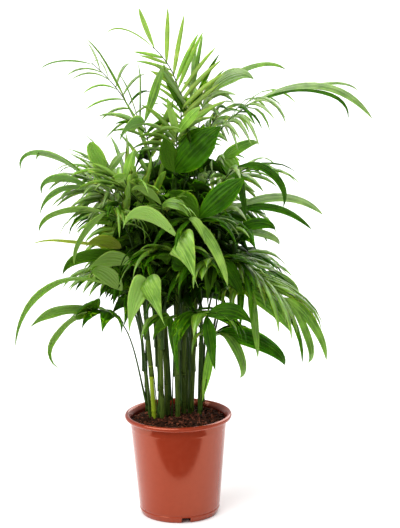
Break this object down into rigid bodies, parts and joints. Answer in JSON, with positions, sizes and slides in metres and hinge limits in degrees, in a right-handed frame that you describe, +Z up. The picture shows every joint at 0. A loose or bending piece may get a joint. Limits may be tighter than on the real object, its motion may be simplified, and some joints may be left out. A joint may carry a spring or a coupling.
{
  "type": "parlour palm",
  "caption": "Bushy potted parlour palm: slim green canes and arching fronds of narrow leaflets in a terracotta-coloured nursery pot filled with soil.",
  "frame": {"origin": "middle of the flat disc under the pot, on the surface that the plant stands on", "axes": "+Z up along the pot's axis, -Y towards the viewer, +X to the viewer's right"},
  "size_m": [0.565, 0.4253, 0.805],
  "materials": {
    "pot": "glossy moulded terracotta-coloured plastic",
    "soil": "moist dark bark and coir compost",
    "cane": "satin green sheathed stem",
    "frond": "thin satin green leaf"
  },
  "bodies": {
    "root": {"pot": "pot", "soil": "soil", "cane_a": "cane", "cane_b": "cane", "cane_c": "cane", "cane_d": "cane", "cane_e": "cane", "cane_f": "cane", "cane_g": "cane", "cane_h": "cane", "cane_i": "cane", "cane_k": "cane", "frond_top_left": "frond", "frond_thin_left": "frond", "frond_top_right": "frond", "frond_upper_mid": "frond", "frond_upper_up": "frond", "frond_upper_lean": "frond", "frond_upper_back": "frond", "frond_upper_bright": "frond", "frond_left_high": "frond", "frond_left_paddle": "frond", "frond_left_mid": "frond", "frond_left_low": "frond", "frond_left_back": "frond", "frond_left_yellow": "frond", "frond_left_broad": "frond", "frond_left_long": "frond", "frond_left_fan": "frond", "frond_left_deep": "frond", "frond_right_high": "frond", "frond_right_small": "frond", "frond_right_arch": "frond", "frond_right_mid": "frond", "frond_right_long": "frond", "frond_right_broad": "frond", "frond_right_lower": "frond", "frond_right_hang": "frond", "frond_right_deep": "frond", "frond_right_young": "frond", "frond_front_broad": "frond", "frond_front_left": "frond", "frond_front_high": "frond", "frond_front_right": "frond", "frond_front_low": "frond", "frond_front_strip": "frond", "frond_centre_high": "frond", "frond_centre_dark": "frond", "frond_centre_left": "frond", "frond_centre_low": "frond", "frond_centre_right": "frond", "frond_back_1": "frond", "frond_back_2": "frond", "frond_back_3": "frond", "frond_back_4": "frond", "frond_back_5": "frond", "frond_back_6": "frond", "frond_back_7": "frond", "frond_back_8": "frond", "frond_back_9": "frond"}
  },
  "joints": []
}
